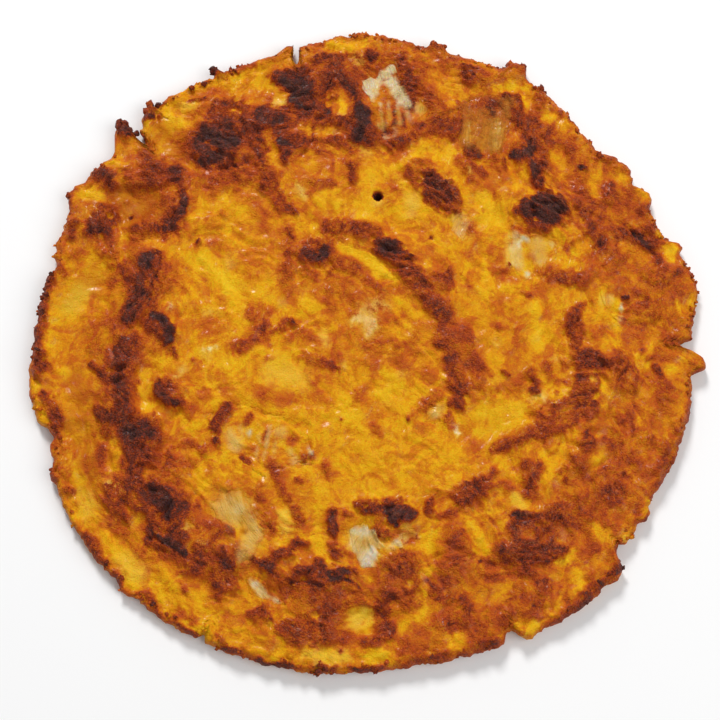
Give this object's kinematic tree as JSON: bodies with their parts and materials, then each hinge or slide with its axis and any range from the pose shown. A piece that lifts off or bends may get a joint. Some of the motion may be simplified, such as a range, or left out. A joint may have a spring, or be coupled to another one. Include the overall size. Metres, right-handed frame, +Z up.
{
  "type": "kimchi pancake",
  "caption": "Round savoury pancake, fried brown, with a ragged crisp rim and pale pieces of pickled cabbage showing in its face.",
  "frame": {"origin": "middle of the flat underside, on the surface that the pancake lies on", "axes": "+Z up through the pancake, from the underside to the browned face; -Y is the side nearest the camera of the picture, +X its right"},
  "size_m": [0.2606, 0.2558, 0.0114],
  "materials": {
    "batter": "satin",
    "cabbage": "satin"
  },
  "bodies": {
    "root": {"batter": "batter", "cabbage_leaf_top": "cabbage", "cabbage_curled": "cabbage", "cabbage_white": "cabbage", "cabbage_strip": "cabbage", "cabbage_pale_left": "cabbage", "cabbage_ribbed": "cabbage", "cabbage_pale_right": "cabbage", "cabbage_by_oval": "cabbage", "cabbage_middle": "cabbage", "cabbage_low_left": "cabbage", "cabbage_right_edge": "cabbage"}
  },
  "joints": []
}
